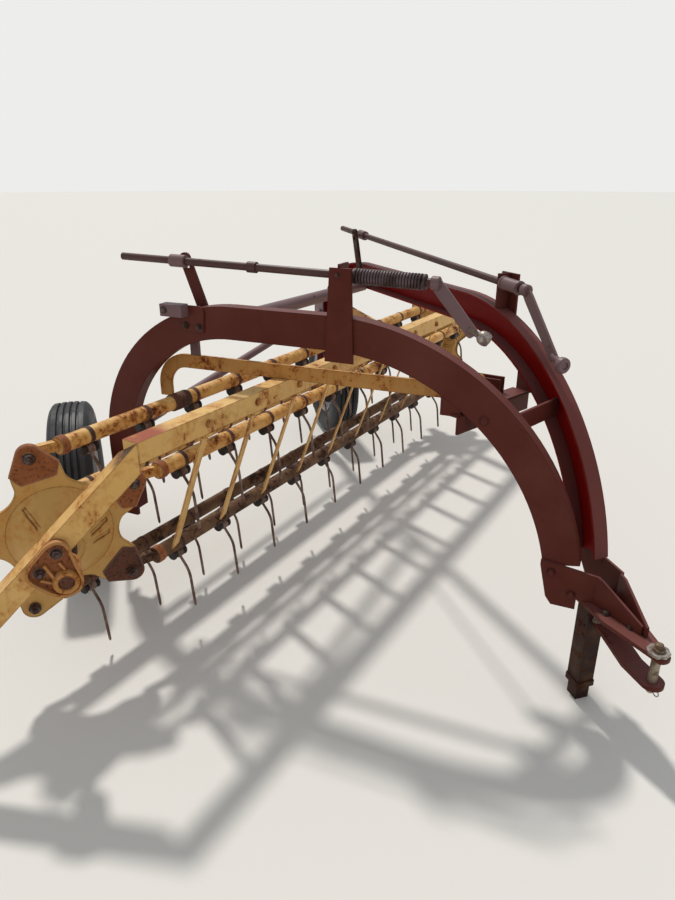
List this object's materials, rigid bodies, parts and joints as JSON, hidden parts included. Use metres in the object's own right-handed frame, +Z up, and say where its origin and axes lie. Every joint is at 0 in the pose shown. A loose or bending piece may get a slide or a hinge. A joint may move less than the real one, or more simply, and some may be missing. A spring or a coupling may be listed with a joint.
{
  "type": "rotary hay rake",
  "caption": "Towed parallel-bar hay rake: two arched channel beams carry a slanted basket whose turning heads swing level tooth bars, with crank screws to raise it and a front parking stand",
  "frame": {"origin": "on the ground, under the centre of the parking stand's foot", "axes": "+X forward to the hitch along the direction of travel, +Y to the left, +Z up"},
  "size_m": [3.085, 2.5219, 1.256],
  "materials": {
    "frame_red": "weathered maroon paint, faded pink on the upper faces",
    "basket_yellow": "weathered cream-yellow paint, rusty edges",
    "worn_steel": "maroon paint worn to grey steel",
    "dark_steel": "dark dirty paint",
    "pin_steel": "dull steel with a brown film",
    "rim_steel": "faded silver paint",
    "tyre": "ribbed, dusty",
    "tooth": "black rubber with a rusty spring wire"
  },
  "bodies": {
    "frame": {"arch_right": "frame_red", "arch_left": "frame_red", "gussets": "frame_red", "hitch_straps": "frame_red", "hitch_pin": "pin_steel", "front_tie": "frame_red", "pivot_angle": "frame_red", "cross_pipe": "worn_steel", "brace_tube": "worn_steel", "crank_posts": "frame_red", "lever_pivots": "frame_red", "axle_plates": "frame_red", "crank_rods": "worn_steel", "crank_springs": "worn_steel", "crank_handles": "worn_steel", "stand_sleeve": "dark_steel"},
    "stand": {"stand_leg": "dark_steel"},
    "wheel_right": {"tyre_right": "tyre", "rim_right": "rim_steel"},
    "wheel_left": {"tyre_left": "tyre", "rim_left": "rim_steel"},
    "lift_lever_right": {"lever_right": "frame_red"},
    "lift_lever_left": {"lever_left": "frame_red"},
    "lift_nut_right": {"nut_right": "worn_steel"},
    "lift_nut_left": {"nut_left": "worn_steel"},
    "basket": {"lift_links": "worn_steel", "basket_arms": "basket_yellow", "top_beam": "basket_yellow", "end_beams": "basket_yellow", "bearing_brackets": "basket_yellow", "strippers": "basket_yellow"},
    "reel_right": {"head_right": "basket_yellow"},
    "reel_left": {"head_left": "basket_yellow"},
    "tooth_bar_1": {"bar_1": "basket_yellow", "teeth_1": "tooth"},
    "tooth_bar_2": {"bar_2": "basket_yellow", "teeth_2": "tooth"},
    "tooth_bar_3": {"bar_3": "basket_yellow", "teeth_3": "tooth"},
    "tooth_bar_4": {"bar_4": "basket_yellow", "teeth_4": "tooth"},
    "tooth_bar_5": {"bar_5": "basket_yellow", "teeth_5": "tooth"}
  },
  "joints": [
    {"name": "stand_height", "type": "slide", "parent": "frame", "child": "stand", "axis": [0, 0, 1], "range_m": [0, 0.15]},
    {"name": "wheel_right_spin", "type": "hinge", "parent": "frame", "child": "wheel_right", "pos_m": [-1.3, -1.49, 0.33], "axis": [0, 1, 0], "continuous": true},
    {"name": "wheel_left_spin", "type": "hinge", "parent": "frame", "child": "wheel_left", "pos_m": [-2.48, -0.096, 0.33], "axis": [0, 1, 0], "continuous": true},
    {"name": "basket_lift", "type": "hinge", "parent": "frame", "child": "basket", "pos_m": [-0.37929, -0.27935, 0.885], "axis": [-0.6756, 0.7373, 0], "range_deg": [0, 3]},
    {"name": "lever_right_turn", "type": "hinge", "parent": "frame", "child": "lift_lever_right", "pos_m": [-0.90571, -0.9736, 1.066], "axis": [-0.766, 0.6428, 0], "range_deg": [0, 41]},
    {"name": "lever_left_turn", "type": "hinge", "parent": "frame", "child": "lift_lever_left", "pos_m": [-1.65536, -0.19139, 1.066], "axis": [-0.1219, 0.9925, 0], "range_deg": [0, 42.3]},
    {"name": "nut_right_travel", "type": "slide", "parent": "frame", "child": "lift_nut_right", "axis": [0.6426, 0.7659, -0.0214], "range_m": [0, 0.1241]},
    {"name": "nut_left_travel", "type": "slide", "parent": "frame", "child": "lift_nut_left", "axis": [0.9908, 0.1217, -0.0598], "range_m": [0, 0.1227]},
    {"name": "reel_right_spin", "type": "hinge", "parent": "basket", "child": "reel_right", "pos_m": [-0.527, -1.474, 0.513], "axis": [0.9919, 0.1271, 0], "continuous": true},
    {"name": "reel_left_spin", "type": "hinge", "parent": "basket", "child": "reel_left", "pos_m": [-2.34434, 0.50928, 0.513], "axis": [0.9919, 0.1271, 0], "continuous": true},
    {"name": "tooth_bar_1_pivot", "type": "hinge", "parent": "reel_right", "child": "tooth_bar_1", "pos_m": [-0.52084, -1.52207, 0.76233], "axis": [0.9919, 0.1271, 0], "continuous": true},
    {"name": "tooth_bar_2_pivot", "type": "hinge", "parent": "reel_right", "child": "tooth_bar_2", "pos_m": [-0.55523, -1.25365, 0.63614], "axis": [0.9919, 0.1271, 0], "continuous": true},
    {"name": "tooth_bar_3_pivot", "type": "hinge", "parent": "reel_right", "child": "tooth_bar_3", "pos_m": [-0.5506, -1.28974, 0.33977], "axis": [0.9919, 0.1271, 0], "continuous": true},
    {"name": "tooth_bar_4_pivot", "type": "hinge", "parent": "reel_right", "child": "tooth_bar_4", "pos_m": [-0.51336, -1.58048, 0.2828], "axis": [0.9919, 0.1271, 0], "continuous": true},
    {"name": "tooth_bar_5_pivot", "type": "hinge", "parent": "reel_right", "child": "tooth_bar_5", "pos_m": [-0.49497, -1.72406, 0.54395], "axis": [0.9919, 0.1271, 0], "continuous": true}
  ],
  "couplings": [
    {"joint": "lever_right_turn", "follows": "basket_lift", "ratio": 13.667},
    {"joint": "lever_left_turn", "follows": "basket_lift", "ratio": 14.1},
    {"joint": "nut_right_travel", "follows": "basket_lift", "m_per_rad": 2.3701},
    {"joint": "nut_left_travel", "follows": "basket_lift", "m_per_rad": 2.3434},
    {"joint": "reel_left_spin", "follows": "reel_right_spin", "ratio": 1},
    {"joint": "tooth_bar_1_pivot", "follows": "reel_right_spin", "ratio": -1},
    {"joint": "tooth_bar_2_pivot", "follows": "reel_right_spin", "ratio": -1},
    {"joint": "tooth_bar_3_pivot", "follows": "reel_right_spin", "ratio": -1},
    {"joint": "tooth_bar_4_pivot", "follows": "reel_right_spin", "ratio": -1},
    {"joint": "tooth_bar_5_pivot", "follows": "reel_right_spin", "ratio": -1}
  ]
}
